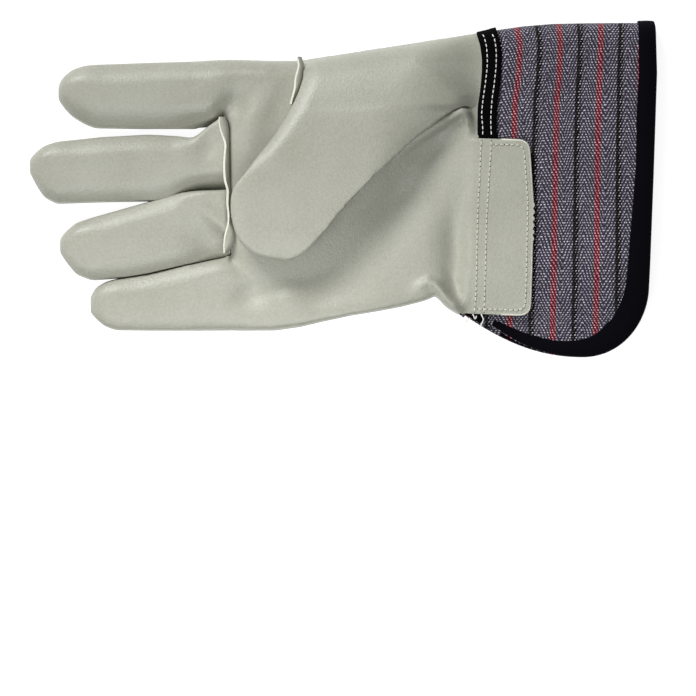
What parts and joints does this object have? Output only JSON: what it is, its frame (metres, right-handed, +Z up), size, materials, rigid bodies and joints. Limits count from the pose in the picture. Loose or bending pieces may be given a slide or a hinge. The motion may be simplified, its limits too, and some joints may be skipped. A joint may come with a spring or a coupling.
{
  "type": "work glove",
  "caption": "Leather-palm work glove lying palm up with its thumb folded over the palm and a striped fabric safety cuff bound in black.",
  "frame": {"origin": "middle of the glove's bounding box, on the surface that its back lies on", "axes": "+X from the fingertips to the cuff's hem, +Y to the thumb side, +Z up out of the palm"},
  "size_m": [0.2692, 0.1448, 0.029],
  "materials": {
    "leather": "smooth satin grain",
    "raw_leather_edge": "matt cut edge",
    "back_fabric": "striped herringbone weave",
    "striped_fabric": "stiff striped herringbone weave",
    "black_tape": "matt woven tape",
    "black_binding": "matt bias binding"
  },
  "bodies": {
    "root": {"palm_leather": "leather", "middle_finger_leather": "leather", "ring_finger_leather": "leather", "thumb_leather": "leather", "thumb_inner_leather": "leather", "back_fabric": "back_fabric", "index_fingertip": "leather", "middle_fingertip": "leather", "ring_fingertip": "leather", "little_fingertip": "leather", "finger_seam_welt": "raw_leather_edge", "thumb_seam_welt": "raw_leather_edge", "cuff_fabric": "striped_fabric", "wrist_tape": "black_tape", "hem_binding": "black_binding"}
  },
  "joints": []
}
